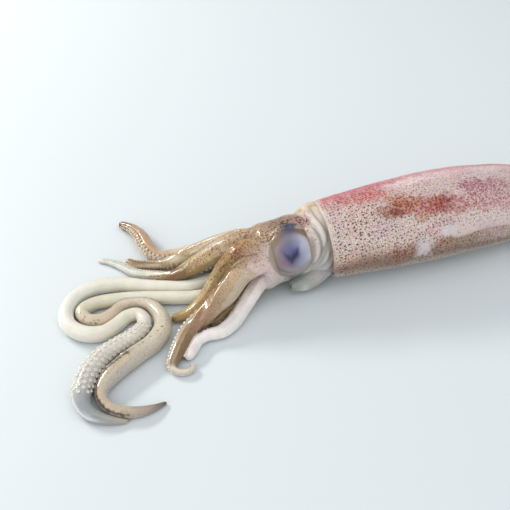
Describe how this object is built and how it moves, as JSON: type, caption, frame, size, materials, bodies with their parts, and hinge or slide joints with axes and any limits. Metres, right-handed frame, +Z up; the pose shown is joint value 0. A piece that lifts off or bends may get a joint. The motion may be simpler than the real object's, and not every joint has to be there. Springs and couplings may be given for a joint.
{
  "type": "whole raw squid",
  "caption": "Whole raw squid at rest on a table: long smooth mantle with tail fins, head with large eyes and a funnel, curled arms, and long tentacles that end in clubs.",
  "frame": {"origin": "on the table under the belly, in the narrow flat strip that the mantle rests on", "axes": "+X towards the tail tip, +Z up, -Y towards the animal's left side, which faces up and outwards"},
  "size_m": [0.3409, 0.1365, 0.0472],
  "materials": {
    "mantle_skin": "wet skin with fine dark dots",
    "fin_skin": "wet thin skin",
    "head_skin": "wet skin with dark dots",
    "arm_flesh": "wet translucent flesh",
    "tentacle_flesh": "wet pale flesh",
    "funnel_flesh": "wet translucent flesh",
    "eye": "wet clear cover over a dark lens"
  },
  "bodies": {
    "root": {"mantle": "mantle_skin", "fin_left": "fin_skin", "fin_right": "fin_skin", "head": "head_skin", "funnel": "funnel_flesh", "eye_left": "eye", "eye_right": "eye", "tentacle_left": "tentacle_flesh", "tentacle_right": "tentacle_flesh", "arm_left_1": "arm_flesh", "arm_left_2": "arm_flesh", "arm_left_3": "arm_flesh", "arm_left_4": "arm_flesh", "arm_right_1": "arm_flesh", "arm_right_2": "arm_flesh", "arm_right_3": "arm_flesh", "arm_right_4": "arm_flesh"}
  },
  "joints": []
}
